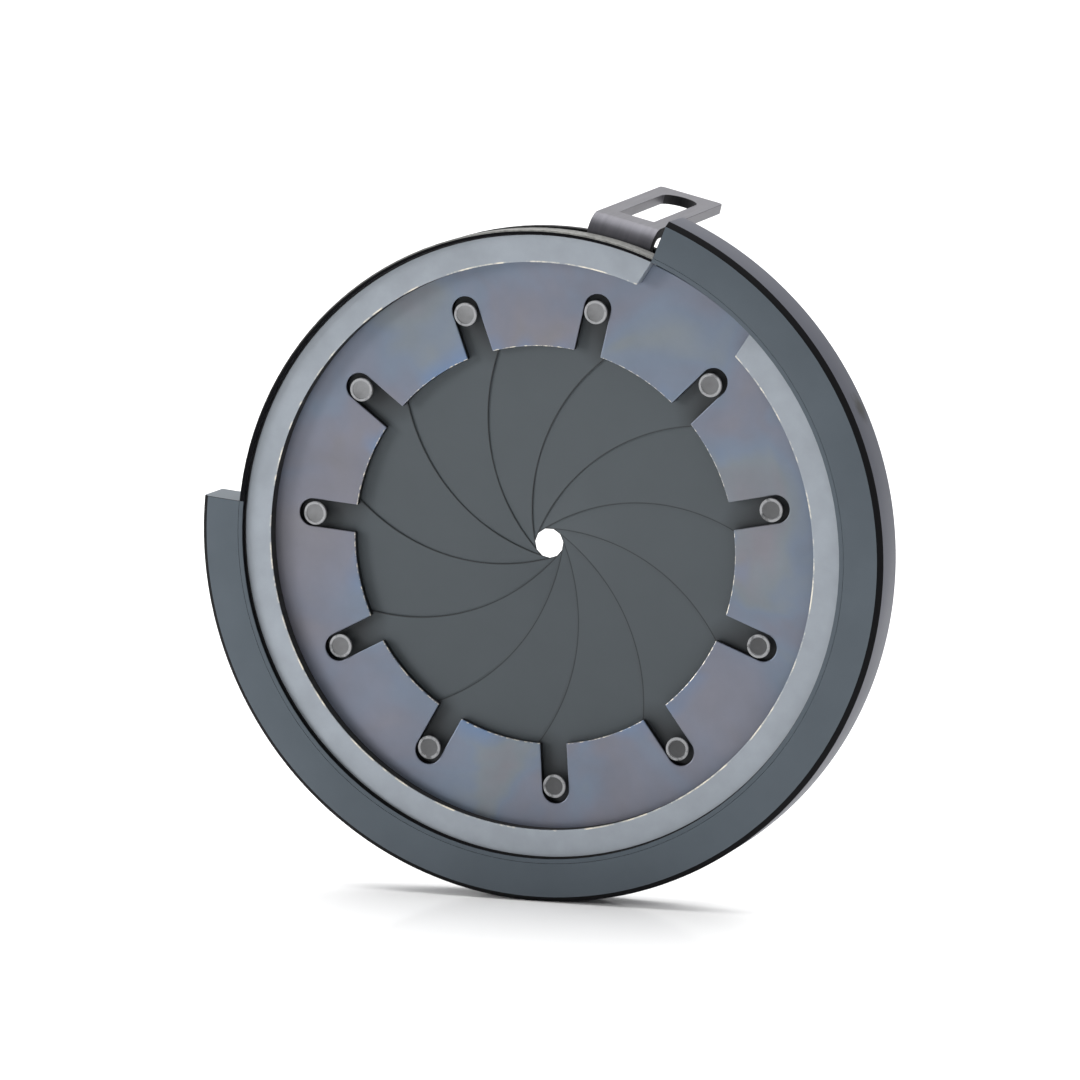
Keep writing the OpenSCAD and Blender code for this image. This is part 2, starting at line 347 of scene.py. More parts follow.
def add_node(tree, kind, inputs=None, **settings):
    """A new node with its settings and inputs filled in; returns the node."""
    node = tree.nodes.new(kind)
    for name, value in settings.items():
        setattr(node, name, value)
    for name, value in (inputs or {}).items():
        feed(tree, node.inputs[name], value)
    return node


def made_by(tree, kind, inputs=None, **settings):
    """The first output of a new node."""
    return add_node(tree, kind, inputs, **settings).outputs[0]


def vector(tree, **parts):
    """A vector from the numbers given for its X, Y and Z."""
    return made_by(tree, "ShaderNodeCombineXYZ", parts)


def spaced(sizes):
    """Names with spaces, as a tree's sockets have them, for names with underscores."""
    return {name.replace("_", " "): value for name, value in sizes.items()}


# %% [markdown]
# A geometry tree needs named inputs for its sizes. The modifier's own inputs are set by
# each socket's identifier, before the object is evaluated for the first time, and the
# evaluated mesh is kept as a plain mesh with no modifier left on it.

# %% Geometry trees
SOCKET_KINDS = {int: "NodeSocketInt", float: "NodeSocketFloat"}


def new_geometry_tree(name, **sizes):
    """A geometry tree with one named input for each size; returns it and its inputs."""
    tree = bpy.data.node_groups.new(name, "GeometryNodeTree")
    sizes = spaced(sizes)
    new_socket = tree.interface.new_socket
    new_socket("Geometry", in_out="OUTPUT", socket_type="NodeSocketGeometry")
    new_socket("Geometry", in_out="INPUT", socket_type="NodeSocketGeometry")
    new_socket("Material", in_out="INPUT", socket_type="NodeSocketMaterial")
    for label, value in sizes.items():
        socket = new_socket(label, in_out="INPUT", socket_type=SOCKET_KINDS[type(value)])
        socket.default_value = value
    entry = tree.nodes.new("NodeGroupInput")
    inputs = {label: Number(tree, entry.outputs[label]) for label in sizes}
    inputs["Geometry"] = entry.outputs["Geometry"]
    inputs["Material"] = entry.outputs["Material"]
    return tree, inputs


def end_geometry_tree(tree, geometry, material):
    """Closes a tree with Realize Instances and Set Material."""
    solid = made_by(tree, "GeometryNodeRealizeInstances", {"Geometry": geometry})
    finish = made_by(tree, "GeometryNodeSetMaterial", {"Geometry": solid, "Material": material})
    feed(tree, tree.nodes.new("NodeGroupOutput").inputs[0], finish)


def grow(tree, name, material, start_mesh=None, bevel=None, **sizes):
    """Runs a geometry tree, then a bevel if its settings are given, and keeps the mesh."""
    holder = bpy.data.objects.new(name, start_mesh or bpy.data.meshes.new(name))
    bpy.context.scene.collection.objects.link(holder)
    modifier = holder.modifiers.new("grown", "NODES")
    modifier.node_group = tree
    sizes = spaced(sizes)
    for item in tree.interface.items_tree:
        if item.in_out == "INPUT" and item.name in sizes:
            modifier[item.identifier] = sizes[item.name]
        if item.in_out == "INPUT" and item.name == "Material":
            modifier[item.identifier] = material
    if bevel:
        soft = holder.modifiers.new("soft", "BEVEL")
        for setting, value in bevel.items():
            setattr(soft, setting, value)
    graph = bpy.context.evaluated_depsgraph_get()
    mesh = bpy.data.meshes.new_from_object(holder.evaluated_get(graph))
    bpy.data.objects.remove(holder)
    made = finish_object(mesh, name, material)
    print(f"{name}: {len(mesh.polygons)} faces")
    return made


# %% [markdown]
# ## Finishes
# Effects that several finishes share are node groups: `grain` is the faint unevenness
# that every machined face has, and `worn_edge` shows bare metal on the soft edges, in
# patches, because a coating never wears off evenly.

# %% Shared effects
def new_effect(name, inputs, outputs):
    """A shader node group with the given sockets; returns it, its inputs and its exit."""
    group = bpy.data.node_groups.new(name, "ShaderNodeTree")
    for label, (kind, value) in inputs.items():
        socket = group.interface.new_socket(label, in_out="INPUT", socket_type=kind)
        socket.default_value = value
    for label, kind in outputs.items():
        group.interface.new_socket(label, in_out="OUTPUT", socket_type=kind)
    entry = group.nodes.new("NodeGroupInput")
    way_out = group.nodes.new("NodeGroupOutput")
    return group, entry, way_out


def noise(tree, scale, detail=3.0, roughness=0.55, where=None, distortion=0.0):
    """A noise value over the object's own coordinates, or over where."""
    where = where or add_node(tree, "ShaderNodeTexCoord").outputs["Object"]
    inputs = {"Vector": where, "Scale": scale, "Detail": detail}
    inputs |= {"Roughness": roughness, "Distortion": distortion}
    return Number(tree, made_by(tree, "ShaderNodeTexNoise", inputs))


def mask_from(tree, attribute):
    """A mask that a piece's own mesh carries, as a number."""
    node = add_node(tree, "ShaderNodeAttribute", attribute_name=attribute)
    return Number(tree, node.outputs["Fac"])


def mix_colour(tree, factor, one, two, blend_type="MIX"):
    """A colour between two, by a factor."""
    inputs = {"Factor": factor, "A": one, "B": two}
    node = add_node(tree, "ShaderNodeMix", inputs, data_type="RGBA", blend_type=blend_type)
    colours = [socket for socket in node.outputs if socket.type == "RGBA"]
    return colours[0]


FLOAT, COLOUR = "NodeSocketFloat", "NodeSocketColor"
NEAR_BLACK = (0.004, 0.004, 0.005)


def build_grain():
    """Shade: a slow light-and-dark variation about 1. Height: a fine unevenness."""
    group, entry, way_out = new_effect(
        "grain",
        {"Patch size": (FLOAT, 4.0), "Patch strength": (FLOAT, 0.1), "Fine size": (FLOAT, 0.1)},
        {"Shade": FLOAT, "Height": FLOAT},
    )
    patch_scale = 1.0 / (Number(group, entry.outputs["Patch size"]) * MM)
    fine_scale = 1.0 / (Number(group, entry.outputs["Fine size"]) * MM)
    patches = noise(group, patch_scale, detail=4.0)
    fine = noise(group, fine_scale, detail=2.0)
    strength = Number(group, entry.outputs["Patch strength"])
    shade = 1.0 + (patches - 0.5) * 2.0 * strength
    feed(group, way_out.inputs["Shade"], shade)
    feed(group, way_out.inputs["Height"], fine)
    return group


grain = build_grain()


def build_worn_edge():
    """Colour: the base colour with another on the soft edges. Bare: the mask itself."""
    group, entry, way_out = new_effect(
        "worn_edge",
        {
            "Base": (COLOUR, (0.5, 0.5, 0.5, 1.0)),
            "Bare colour": (COLOUR, (0.8, 0.75, 0.66, 1.0)),
            "Cover": (FLOAT, 0.5),
            "Patch size": (FLOAT, 0.8),
        },
        {"Colour": COLOUR, "Bare": FLOAT},
    )
    scale = 1.0 / (Number(group, entry.outputs["Patch size"]) * MM)
    patches = noise(group, scale, detail=5.0, roughness=0.7)
    cover = Number(group, entry.outputs["Cover"])
    bare = mask_from(group, "soft_edge") * ((patches - 0.7 + cover * 0.4) * 8.0).held()
    colour = mix_colour(group, bare, entry.outputs["Base"], entry.outputs["Bare colour"])
    feed(group, way_out.inputs["Colour"], colour)
    feed(group, way_out.inputs["Bare"], bare)
    return group


worn_edge = build_worn_edge()


def build_painted_shade_faces():
    """Colour: the base colour, with near-black painted shade on the faces marked dark.

    Bright: 1 on plain faces and 0 on dark ones, to dull what is marked."""
    group, entry, way_out = new_effect(
        "painted_shade_faces",
        {"Base": (COLOUR, (0.5, 0.5, 0.5, 1.0)), "Dark colour": (COLOUR, (*NEAR_BLACK, 1.0))},
        {"Colour": COLOUR, "Bright": FLOAT},
    )
    mask = mask_from(group, "dark")
    colour = mix_colour(group, mask, entry.outputs["Base"], entry.outputs["Dark colour"])
    feed(group, way_out.inputs["Bright"], 1.0 - mask)
    feed(group, way_out.inputs["Colour"], colour)
    return group


painted_shade_faces = build_painted_shade_faces()
print("effects:", grain.name, worn_edge.name, painted_shade_faces.name)


# %% [markdown]
# A finish is a material round one Principled shader. These helpers start one, place a
# shared effect in it, and feed its colour and its relief.

# %% Helpers for a finish
def new_finish(name):
    """A material with its Principled shader; returns material, tree and shader."""
    material = bpy.data.materials.new(name)
    material.use_nodes = True
    tree = material.node_tree
    return material, tree, tree.nodes["Principled BSDF"]


def use(tree, group, **inputs):
    """Places a node group in a material and fills in its inputs."""
    return add_node(tree, "ShaderNodeGroup", spaced(inputs), node_tree=group)


def tint(tree, colour, shade):
    """A colour multiplied by a number that varies over the surface."""
    spread = add_node(tree, "ShaderNodeCombineColor", {"Red": shade, "Green": shade, "Blue": shade})
    return mix_colour(tree, 1.0, colour, spread.outputs[0], blend_type="MULTIPLY")


def emboss(tree, shader, height, distance):
    """Feeds a height to the shader's normal."""
    relief = {"Height": height, "Distance": distance, "Strength": 1.0}
    feed(tree, shader.inputs["Normal"], made_by(tree, "ShaderNodeBump", relief))


# %% [markdown]
# ### Metal finishes
# The rings are coated aluminium and steel. They share one recipe and differ in colour,
# gloss and wear, so one function makes them all. The faces that a piece marks for
# near-black painted shade lose their gloss too, or they would mirror the sky at a
# shallow angle.

# %% Plain metal finishes
FINE_GRAIN = 0.12
RELIEF = 0.0004 * MM
PAINTED_SHADE_ROUGHNESS = 0.4


def coat(tree, shader, colour, bare, cover, chips, patches, fine=FINE_GRAIN):
    """The base colour: patches, painted shade on marked faces, bare metal on the edges."""
    patch, strength = patches
    unevenness = use(tree, grain, Patch_size=patch, Patch_strength=strength, Fine_size=fine)
    darkened = use(tree, painted_shade_faces, Base=tint(tree, colour, unevenness.outputs["Shade"]))
    base = darkened.outputs["Colour"]
    worn = use(tree, worn_edge, Base=base, Bare_colour=(*bare, 1.0), Cover=cover, Patch_size=chips)
    feed(tree, shader.inputs["Base Color"], worn.outputs["Colour"])
    return unevenness, Number(tree, darkened.outputs["Bright"])


def metal_finish(
    name, colour, bare, rough, metallic, cover, patches=(5.0, 0.08), chips=0.8, shine=1.5
):
    """A coated or satin metal: patches, fine grain, and bare metal on its edges."""
    material, tree, shader = new_finish(name)
    unevenness, bright = coat(tree, shader, (*colour, 1.0), bare, cover, chips, patches)
    shader.inputs["IOR"].default_value = shine
    roughness = Number(tree, unevenness.outputs["Shade"]) * rough + (1.0 - bright) * PAINTED_SHADE_ROUGHNESS
    feed(tree, shader.inputs["Roughness"], roughness)
    feed(tree, shader.inputs["Metallic"], bright * metallic)
    emboss(tree, shader, unevenness.outputs["Height"], RELIEF)
    return material


CREAM = (0.78, 0.73, 0.62)
RING_TONE = (0.092, 0.110, 0.128)
SIDE_SHADE_TONE = (0.056, 0.060, 0.080)
DULL_COAT, DARK_COAT = 1.22, 1.12
ring_finish = metal_finish(
    "ring_anodised", RING_TONE, NEAR_BLACK, 0.42, 0.35, 1.0, patches=(6.0, 0.16), shine=DULL_COAT
)
housing_finish = metal_finish(
    "housing_black", NEAR_BLACK, (0.20, 0.19, 0.16), 0.5, 0.1, 0.1, shine=DARK_COAT
)
snap_finish = metal_finish(
    "snap_ring_steel", (0.295, 0.325, 0.362), CREAM, 0.36, 0.5, 0.58, patches=(2.2, 0.2), chips=1.6
)
lever_finish = metal_finish(
    "lever_steel", (0.128, 0.126, 0.142), (0.30, 0.295, 0.30), 0.46, 0.7, 0.5
)
rivet_finish = metal_finish("rivet_steel", (0.33, 0.33, 0.34), (0.5, 0.5, 0.5), 0.35, 0.7, 0.5)
pin_finish = metal_finish(
    "pin_steel", (0.205, 0.208, 0.215), (0.32, 0.325, 0.335), 0.42, 0.5, 0.85, patches=(0.6, 0.3)
)
print("plain finishes:", len(bpy.data.materials))

# %% [markdown]
# ### Painted marks
# Some marks sit at a place and not on an edge: the housing's outer wall in the cutaway,
# speckled bare metal with a painted highlight that grows towards the top; a spot of
# painted shade on the ring's side; and the front of the housing's rim, which takes the
# ring's colour where it lies beside the ring, so that the two read as one face. Each is
# a mask made from the object's own coordinates, so it stays on the piece, and is mixed
# over a finished material.

# %% Painted marks
CUTAWAY_START = math.radians(67.6)
CUTAWAY_END = math.radians(174)
RIM_BAND = 0.035 * MM
WALL_WEAR_BAND = 0.11 * MM
WALL_WEAR_DEPTH = 4 * MM
WALL_WEAR_SPECKLE = 0.35 * MM
SHADE_SPOT_ANGLE = math.radians(24.8)
SHADE_SPOT_SIZE = 1.1 * MM
SHADE_SPOT_GRAIN = 0.8 * MM
SHADE_SPOT_TONE = (0.012, 0.012, 0.014)
WALL_WEAR_HIGHLIGHT_TONE = (0.25, 0.25, 0.24)
DULLING = 0.6


def mix_over(material, mask, colour):
    """Mixes a colour over a finished material where a mask says so."""
    tree = material.node_tree
    target = tree.nodes["Principled BSDF"].inputs["Base Color"]
    feed(tree, target, mix_colour(tree, mask, target.links[0].from_socket, (*colour, 1.0)))


def dull_over(material, mask):
    """Makes a finished metal rough and unmetallic where a mask says so."""
    tree = material.node_tree
    shader = tree.nodes["Principled BSDF"]
    roughness = Number(tree, shader.inputs["Roughness"].links[0].from_socket)
    metallic = Number(tree, shader.inputs["Metallic"].links[0].from_socket)
    feed(tree, shader.inputs["Roughness"], roughness + mask * DULLING)
    feed(tree, shader.inputs["Metallic"], metallic * (1.0 - mask))


def own_position(tree):
    """The object's own x, y and z as numbers."""
    where = add_node(tree, "ShaderNodeTexCoord").outputs["Object"]
    parts = add_node(tree, "ShaderNodeSeparateXYZ", {"Vector": where})
    return [Number(tree, parts.outputs[axis]) for axis in "XYZ"]


def housing_masks(tree):
    """The rim's front beside the mounting ring, and the outer wall's wear and painted highlight."""
    x, y, z = own_position(tree)
    middle, half = (CUTAWAY_START + CUTAWAY_END) / 2, (CUTAWAY_END - CUTAWAY_START) / 2
    radius = (x * x + z * z).root()
    in_cutaway = ((x * math.cos(middle) + z * math.sin(middle)) / radius).above(math.cos(half))
    beside_ring = (y * -1.0).above(ring_front - RIM_BAND) * (1.0 - in_cutaway)
    # painted highlight: strongest on the top of the wall, where the overhead light falls
    up = (z / radius).held()
    speckle = noise(tree, 1 / WALL_WEAR_SPECKLE, detail=4.0, roughness=0.7).eased()
    outer_wall = radius.above(housing_radius - WALL_WEAR_BAND) * in_cutaway
    near_front = 1.0 + (y * -1.0 - ring_front) / WALL_WEAR_DEPTH
    return beside_ring, outer_wall * near_front.eased() * up * up * up * (0.3 + speckle)


def shade_spot_mask(tree, centre, size):
    """A soft spot round a point, with an uneven outline."""
    away = [(one - at) * (one - at) for one, at in zip(own_position(tree), centre)]
    distance = (away[0] + away[1] + away[2]).root() / size
    unevenness = (noise(tree, 1 / SHADE_SPOT_GRAIN) - 0.5) * 1.5
    return (1.2 - distance + unevenness).eased()


beside_ring, wall_wear_and_highlight = housing_masks(housing_finish.node_tree)
mix_over(housing_finish, wall_wear_and_highlight, WALL_WEAR_HIGHLIGHT_TONE)
mix_over(housing_finish, beside_ring, RING_TONE)
# painted shade: the ring's turned side gets a darker, bluer tone than its face
mix_over(ring_finish, mask_from(ring_finish.node_tree, "side"), SIDE_SHADE_TONE)
# painted shade: a dark spot on the ring's side near the top right
shade_spot_at = place(ring_radius, SHADE_SPOT_ANGLE, ring_front / 3)
shade_spot = shade_spot_mask(ring_finish.node_tree, shade_spot_at, SHADE_SPOT_SIZE)
mix_over(ring_finish, shade_spot, SHADE_SPOT_TONE)
print("marks on:", housing_finish.name, ring_finish.name)

# %% [markdown]
# ### Heat tint
# Steel that has been heated grows an oxide film whose colour depends on its thickness:
# straw, brown, violet, blue. On the drive plate it drifts slowly from one to the next in
# clouds. Two slow noises at different sizes choose the colour along a ramp, and a third
# one puts bluer spots beside the opening.

# %% Heat tint
BORE_RADIUS = 14.0 * MM
HEATED_BAND = 1.3 * MM
HOT_BLUE = (0.125, 0.185, 0.30, 1.0)


def build_heat_tint():
    """Tempered steel whose colour drifts along a ramp."""
    material, tree, shader = new_finish("plate_tempered")
    clouds = noise(tree, 95.0, detail=3.0, roughness=0.55, distortion=0.6)
    drift = noise(tree, 40.0, detail=1.0)
    film = (clouds * 0.65 + drift * 0.35 - 0.5) * 2.2 + 0.5
    ramp = add_node(tree, "ShaderNodeValToRGB", {"Fac": film})
    stops = [
        (0.12, (0.180, 0.175, 0.190)),
        (0.30, (0.176, 0.178, 0.214)),
        (0.45, (0.163, 0.177, 0.226)),
        (0.58, (0.152, 0.188, 0.250)),
        (0.68, (0.172, 0.198, 0.226)),
        (0.85, (0.190, 0.188, 0.215)),
    ]
    first, last = ramp.color_ramp.elements
    first.position, last.position = stops[0][0], stops[-1][0]
    first.color, last.color = (*stops[0][1], 1.0), (*stops[-1][1], 1.0)
    for position, colour in stops[1:-1]:
        ramp.color_ramp.elements.new(position).color = (*colour, 1.0)
    x, _, z = own_position(tree)
    beside_opening = 1.0 - (((x * x + z * z).root() - BORE_RADIUS) / HEATED_BAND).held()
    hot_spots = ((noise(tree, 260.0, detail=1.0) - 0.5) * 6.0).held()
    blued = mix_colour(tree, beside_opening * hot_spots, ramp.outputs["Color"], HOT_BLUE)
    unevenness, _ = coat(tree, shader, blued, CREAM, 0.55, 0.35, (4.0, 0.2), fine=0.1)
    shader.inputs["Metallic"].default_value = 0.35
    shader.inputs["Roughness"].default_value = 0.4
    emboss(tree, shader, unevenness.outputs["Height"], 0.0005 * MM)
    return material


plate_finish = build_heat_tint()

# %% [markdown]
# ### Blade finish
# The blades are matt dark sheet. The colour falls off in the last tenth of a millimetre
# of each edge, a painted shade line for the shadow under the edge, and it is painted
# darker near the drive pin, where the slots are in shade. The blade's own geometry
# tree stores both: how far each point is from the sheet's edge, and how near the pin.

# %% Blade finish
EDGE_SHADE_WIDTH = 0.10 * MM


def build_blade_finish():
    """Matt dark sheet, with painted shade along its edge and near the drive pin."""
    material, tree, shader = new_finish("blade_steel")
    unevenness = use(tree, grain, Patch_size=3.0, Patch_strength=0.05, Fine_size=0.06)
    shaded = tint(tree, (0.060, 0.072, 0.081, 1.0), unevenness.outputs["Shade"])
    # painted shade near the drive pin
    shaded = mix_colour(tree, mask_from(tree, "shade_at_drive"), shaded, (*NEAR_BLACK, 1.0))
    # painted shade along the sheet's edge
    rim = 1.0 - (mask_from(tree, "from_edge") / EDGE_SHADE_WIDTH).held()
    colour = mix_colour(tree, rim, shaded, (0.008, 0.009, 0.010, 1.0))
    feed(tree, shader.inputs["Base Color"], colour)
    shader.inputs["Metallic"].default_value = 0.2
    shader.inputs["Roughness"].default_value = 0.55
    emboss(tree, shader, unevenness.outputs["Height"], 0.0006 * MM)
    return material


blade_finish = build_blade_finish()

# %% [markdown]
# ## The mounting ring
# A C-shaped ring with a chamfer on its front rim. Its outline is spun from one end of
# the cutaway to the other the long way round. Its chamfer and its bore get near-black
# painted shade and its side a darker painted shade tone, so those faces are marked.

# %% Mounting ring
RING_CHAMFER = 0.35 * MM
RING_BACK_CHAMFER = 0.15 * MM
RING_GAP = 0.01 * MM
TURN_STEPS = 300
ring_inner = housing_radius + RING_GAP

ring_outline = soften(
    [
        (ring_inner, ring_back),
        (ring_radius - RING_BACK_CHAMFER, ring_back),
        (ring_radius, ring_back + RING_BACK_CHAMFER),
        (ring_radius, ring_front - RING_CHAMFER),
        (ring_radius - RING_CHAMFER, ring_front),
        (ring_inner, ring_front),
    ],
    [0.02 * MM, 0.03 * MM, 0.03 * MM, 0.04 * MM, 0.04 * MM, 0],
)
ring_bm = spin(
    ring_outline,
    TURN_STEPS,
    begin=lambda radius: CUTAWAY_END,
    end=lambda radius: CUTAWAY_START + math.tau,
    end_round=0.03 * MM,
)
mount_ring = finish_mesh(ring_bm, "mount_ring_body", ring_finish)


def chamfer_or_bore(radius, height, front, outward):
    """The front chamfer, and the wall that faces the axis."""
    chamfer = (front > 0.2) & (front < 0.97) & (outward > 0.2)
    return chamfer | (outward < -0.5)


def turned_side(radius, height, front, outward):
    """The outer wall, between the two chamfers."""
    return outward > 0.97


# painted shade: the chamfer and the bore near black, the side a darker tone
print("dark ring faces:", mark_faces(mount_ring.data, "dark", chamfer_or_bore))
print("side faces:", mark_faces(mount_ring.data, "side", turned_side))
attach(mount_ring, "casing")
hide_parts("mount_ring")

# %% [markdown]
# ## The housing
# A cup with a thin lip, a window in its wall for the lever and a hole in its base for
# each pivot. Its model in the frame already has every face. A copy of it is merged,
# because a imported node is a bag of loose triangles, its flat faces are joined up again,
# and a fine bevel breaks the edges.

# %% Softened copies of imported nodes
def merged_copy(node):
    """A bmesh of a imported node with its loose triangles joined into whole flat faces."""
    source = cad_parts[node]
    bm = bmesh.new()
    bm.from_mesh(source.data)
    bmesh.ops.transform(bm, matrix=source.matrix_world, verts=bm.verts)
    bmesh.ops.remove_doubles(bm, verts=bm.verts, dist=1e-6)
    bmesh.ops.dissolve_limit(bm, angle_limit=math.radians(0.5), verts=bm.verts, edges=bm.edges)
    return bm


def add_bevel(blank, width, segments, angle):
    """A live bevel on a mesh object's steep edges."""
    soft = blank.modifiers.new("soft", "BEVEL")
    soft.width = width
    soft.segments = segments
    soft.limit_method = "ANGLE"
    soft.angle_limit = math.radians(angle)
    return soft


def baked(blank):
    """The plain mesh of an object with its modifiers applied."""
    graph = bpy.context.evaluated_depsgraph_get()
    return bpy.data.meshes.new_from_object(blank.evaluated_get(graph))


# %% [markdown]
# The bevel's own faces are the ones that look neither along the axis nor square to it,
# so a rule on the normal finds them.

# %% Housing
HOUSING_EDGE = 0.025 * MM
UPRIGHT, FLAT = 0.17, 0.985


def on_a_bevel(radius, height, front, outward):
    """Faces that lean between facing the axis and facing out: a bevel made them."""
    return (np.abs(front) > UPRIGHT) & (np.abs(front) < FLAT)


blank = finish_mesh(merged_copy("housing"), "housing_blank", housing_finish)
add_bevel(blank, HOUSING_EDGE, 2, 30)
housing = finish_object(baked(blank), "housing_cup", housing_finish)
bpy.data.objects.remove(blank)
print("edge faces:", mark_faces(housing.data, "soft_edge", on_a_bevel))
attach(housing, "casing")
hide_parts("housing")

# %% [markdown]
# ## The snap ring
# A flat split ring that holds the plate in. It could be a full ring with a block cut
# out of it, but spinning it from one side of the gap to the other also rounds its ends.
# The two sides of the gap are parallel, so the angle of each depends on the radius.

# %% Snap ring
SNAP_WIDTH = 2.05 * MM
SNAP_GAP = 8.5 * MM
SNAP_GAP_ANGLE = math.radians(56.7)
SNAP_DARK_RIM = 0.16 * MM
SNAP_WORN_RIM = 0.10 * MM
SNAP_ROUND = 0.04 * MM
snap_inner = snap_radius - SNAP_WIDTH


def half_gap(radius):
    """The angle from the gap's middle to one of its parallel sides."""
    return math.asin(SNAP_GAP / 2 / radius)


snap_outline = soften(
    [
        (snap_inner, snap_back),
        (snap_radius, snap_back),
        (snap_radius, snap_front),
        (snap_radius - SNAP_DARK_RIM, snap_front),
        (snap_inner + SNAP_WORN_RIM, snap_front),
        (snap_inner, snap_front),
    ],
    [SNAP_ROUND, SNAP_ROUND, SNAP_ROUND, 0, 0, SNAP_ROUND],
)
snap_ring = finish_mesh(
    spin(
        snap_outline,
        TURN_STEPS,
        begin=lambda radius: SNAP_GAP_ANGLE + half_gap(radius),
        end=lambda radius: SNAP_GAP_ANGLE - half_gap(radius) + math.tau,
        end_round=SNAP_ROUND,
    ),
    "snap_ring_body",
    snap_finish,
)


def wall_or_rim(radius, height, front, outward):
    """The ring's two walls and a narrow band inside its outer edge."""
    wall = (np.abs(front) < 0.4) & (np.abs(outward) > 0.6)
    return wall | (radius > snap_radius - SNAP_DARK_RIM)


def inner_edge(radius, height, front, outward):
    """The narrow band round the ring's inner edge."""
    return (front > 0.2) & (radius < snap_inner + SNAP_WORN_RIM)


# painted shade: the ring's walls and the band inside its outer edge are near black
print("dark snap ring faces:", mark_faces(snap_ring.data, "dark", wall_or_rim))
print("worn snap ring faces:", mark_faces(snap_ring.data, "soft_edge", inner_edge))
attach(snap_ring, "casing")
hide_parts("snap_ring")

# %% [markdown]
# ## The drive plate
# A punched disc. One slot cutter, a bar with a round end, is put round the circle as
# instances and cut out of the disc together with the bore. A fine bevel then breaks
# every edge.

# %% Slotted disc tree
DISC_STEPS, TIP_STEPS = 480, 64


def build_slotted_disc():
    """A disc that faces the front, with a bore and a ring of open slots cut out of it."""
    tree, inputs = new_geometry_tree(
        "slotted_disc",
        Radius=0.02155,
        Bore_radius=0.014,
        Thickness=0.00055,
        Middle=0.001775,
        Count=11,
        First_angle=0.0,
        Slot_width=0.00195,
        Slot_end=0.01825,
    )

    def cylinder(vertices, radius, depth):
        """A solid cylinder that stands on the tree's own Z."""
        sizes = {"Vertices": vertices, "Radius": radius, "Depth": depth}
        return made_by(tree, "GeometryNodeMeshCylinder", sizes)

    def moved(geometry, way):
        """A Transform node that moves a geometry."""
        return add_node(tree, "GeometryNodeTransform", {"Geometry": geometry, "Translation": way})

    # the disc, and what is cut out of it, tall enough to go right through
    tall = inputs["Thickness"] * 4.0
    disc = cylinder(DISC_STEPS, inputs["Radius"], inputs["Thickness"])
    bore = cylinder(DISC_STEPS, inputs["Bore radius"], tall)
    end_centre = inputs["Slot end"] - inputs["Slot width"] / 2.0
    length = end_centre - inputs["Bore radius"] * 0.5
    bar_size = vector(tree, X=length, Y=inputs["Slot width"], Z=tall)
    bar = made_by(tree, "GeometryNodeMeshCube", {"Size": bar_size})
    tip = cylinder(TIP_STEPS, inputs["Slot width"] / 2.0, tall)
    cutter = add_node(tree, "GeometryNodeJoinGeometry")
    for part, middle in ((bar, end_centre - length / 2.0), (tip, end_centre)):
        feed(tree, cutter.inputs[0], moved(part, vector(tree, X=middle)).outputs[0])

    # one cutter for each slot
    number = Number(tree, made_by(tree, "GeometryNodeInputIndex"))
    turn = inputs["First angle"] + number * math.tau / inputs["Count"]
    rotation = made_by(tree, "FunctionNodeEulerToRotation", {"Euler": vector(tree, Z=turn)})
    spots = made_by(tree, "GeometryNodePoints", {"Count": inputs["Count"]})
    copies = {"Points": spots, "Instance": cutter.outputs[0], "Rotation": rotation}
    cutters = made_by(tree, "GeometryNodeInstanceOnPoints", copies)
    all_cutters = made_by(tree, "GeometryNodeRealizeInstances", {"Geometry": cutters})
    cut = add_node(tree, "GeometryNodeMeshBoolean", operation="DIFFERENCE", solver="EXACT")
    cut.inputs["Self Intersection"].default_value = True
    feed(tree, cut.inputs["Mesh 1"], disc)
    for tool in (all_cutters, bore):
        feed(tree, cut.inputs["Mesh 2"], tool)

    # stood up to face the front
    facing = moved(cut.outputs[0], vector(tree, Y=inputs["Middle"] * -1.0))
    facing.inputs["Rotation"].default_value = (math.pi / 2, 0, 0)
    end_geometry_tree(tree, facing.outputs[0], inputs["Material"])
    return tree


# %% [markdown]
# The plate is heat-tinted all over. Only the bevel round its opening shows cream bare
# metal with a painted highlight, and its upright walls get near-black painted shade.

# %% Drive plate
SLOT_WIDTH = 1.95 * MM
SLOT_END = 18.245 * MM
OPENING_BARE_HIGHLIGHT_BAND = 0.1 * MM
PLATE_EDGE = 0.06 * MM
drive_plate = grow(
    build_slotted_disc(),
    "drive_plate_body",
    plate_finish,
    bevel={"width": PLATE_EDGE, "segments": 2, "limit_method": "ANGLE", "use_clamp_overlap": False},
    Radius=plate_radius,
    Bore_radius=BORE_RADIUS,
    Thickness=plate_front - plate_back,
    Middle=(plate_front + plate_back) / 2,
    Count=blade_count,
    First_angle=FIRST_DRIVE_ANGLE,
    Slot_width=SLOT_WIDTH,
    Slot_end=SLOT_END,
)


def opening_edge(radius, height, front, outward):
    """The bevel round the opening, bare and painted bright; the slots' own edges are not."""
    return on_a_bevel(radius, height, front, outward) & (radius < BORE_RADIUS + OPENING_BARE_HIGHLIGHT_BAND)


def upright(radius, height, front, outward):
    """The walls of the slots, the bore and the rim."""
    return np.abs(front) <= UPRIGHT


# bare metal and painted highlight on the opening's bevel; painted shade on the walls
print("plate edge faces:", mark_faces(drive_plate.data, "soft_edge", opening_edge))
print("plate walls:", mark_faces(drive_plate.data, "dark", upright))
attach(drive_plate, "rotor")
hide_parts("drive_plate")

# %% [markdown]
# ## The lever
# A strip bent from sheet: its side view is drawn once, with the bend as an arc, and
# pulled out to the strip's width. The slot and the two round corners of the tab are
# Boolean cuts, because they run through the sheet, and a bevel breaks the edges.

